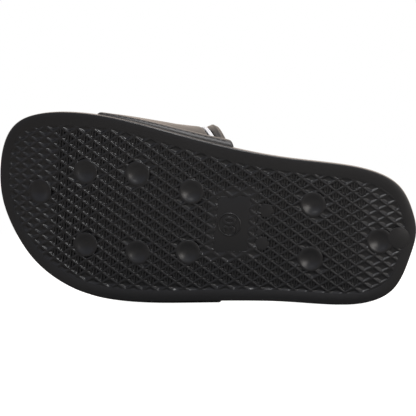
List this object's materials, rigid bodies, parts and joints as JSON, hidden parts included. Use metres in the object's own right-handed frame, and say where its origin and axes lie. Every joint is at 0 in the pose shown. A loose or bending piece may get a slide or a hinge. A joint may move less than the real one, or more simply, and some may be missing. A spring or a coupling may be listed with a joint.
{
  "type": "sport slide sandal",
  "caption": "Right sport slide sandal lying on its lateral side: moulded sole with suction-cup tread, shaped footbed and a wide padded strap over the instep.",
  "frame": {"origin": "middle of the shoe's box at the floor it lies on", "axes": "toe towards -X, heel towards +X, tread facing -Y, medial side of the shoe up towards +Z"},
  "size_m": [0.2024, 0.0644, 0.0939],
  "materials": {
    "sole": "satin",
    "footbed": "matte",
    "strap": "satin",
    "inlay": "matte"
  },
  "bodies": {
    "root": {"sole": "sole", "footbed": "footbed", "strap": "strap", "inlay": "inlay"}
  },
  "joints": []
}
